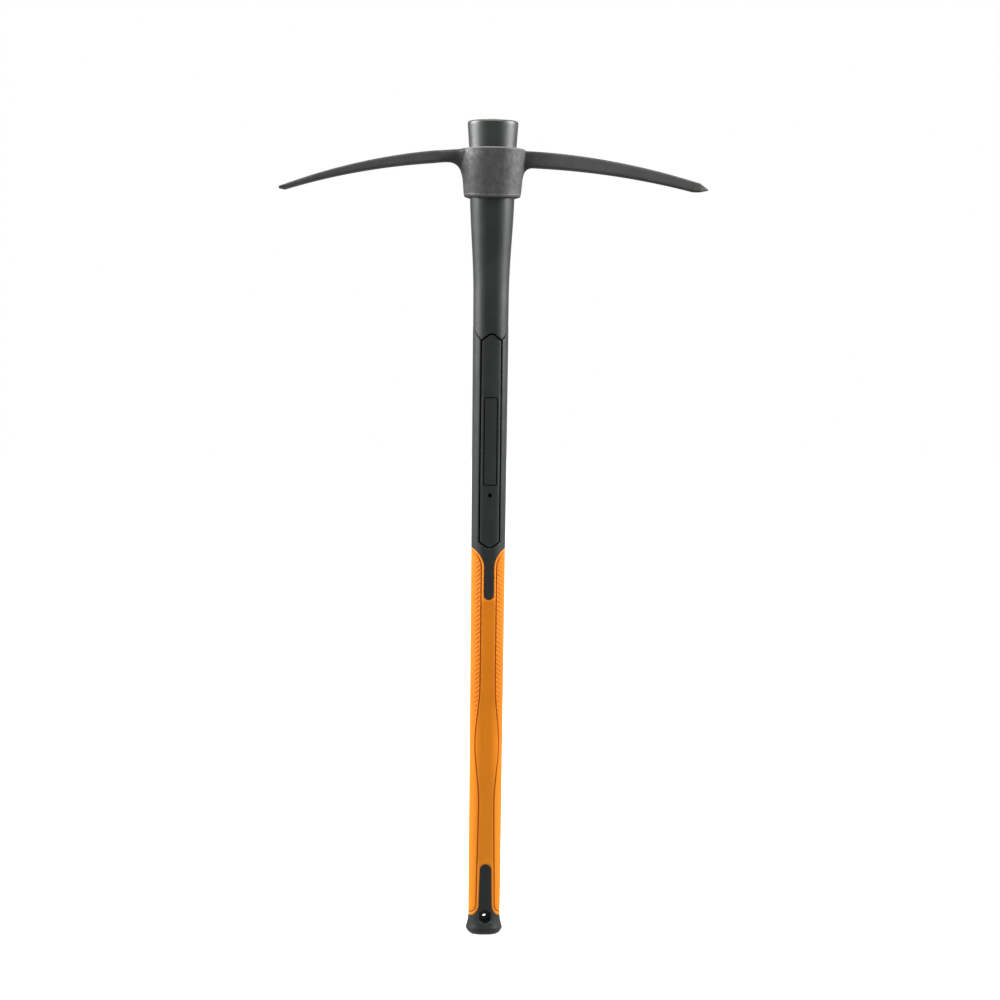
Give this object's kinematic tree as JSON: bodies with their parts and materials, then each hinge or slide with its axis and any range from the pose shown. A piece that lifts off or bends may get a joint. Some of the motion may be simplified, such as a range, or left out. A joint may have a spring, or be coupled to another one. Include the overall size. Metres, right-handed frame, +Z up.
{
  "type": "pick axe",
  "caption": "Drop-through pick axe: a forged head with a chisel arm and a pointed arm slides up an oval composite handle and wedges on its flared crown; soft grip and hang hole below.",
  "frame": {"origin": "on the handle's axis, in the flat face under the butt", "axes": "+Z up the handle from the butt to the crown, +X towards the point arm, -X towards the chisel arm, -Y towards the camera of the picture"},
  "size_m": [0.476, 0.0604, 0.9018],
  "materials": {
    "forged_steel": "forged steel under thin dark paint, rough and worn lighter on the collar, smooth on the arms",
    "glass_fibre": "sawn end of an amber glass-fibre rod",
    "black_polymer": "satin moulded black polymer",
    "orange_rubber": "soft orange rubber, textured at the sides and smooth in the middle"
  },
  "bodies": {
    "handle": {"handle_core": "glass_fibre", "handle_jacket": "black_polymer", "grip_sleeve": "orange_rubber"},
    "head": {"pick_head": "forged_steel"}
  },
  "joints": [
    {"name": "head_slide", "type": "slide", "parent": "handle", "child": "head", "axis": [0, 0, -1], "range_m": [0, 0.8]}
  ]
}
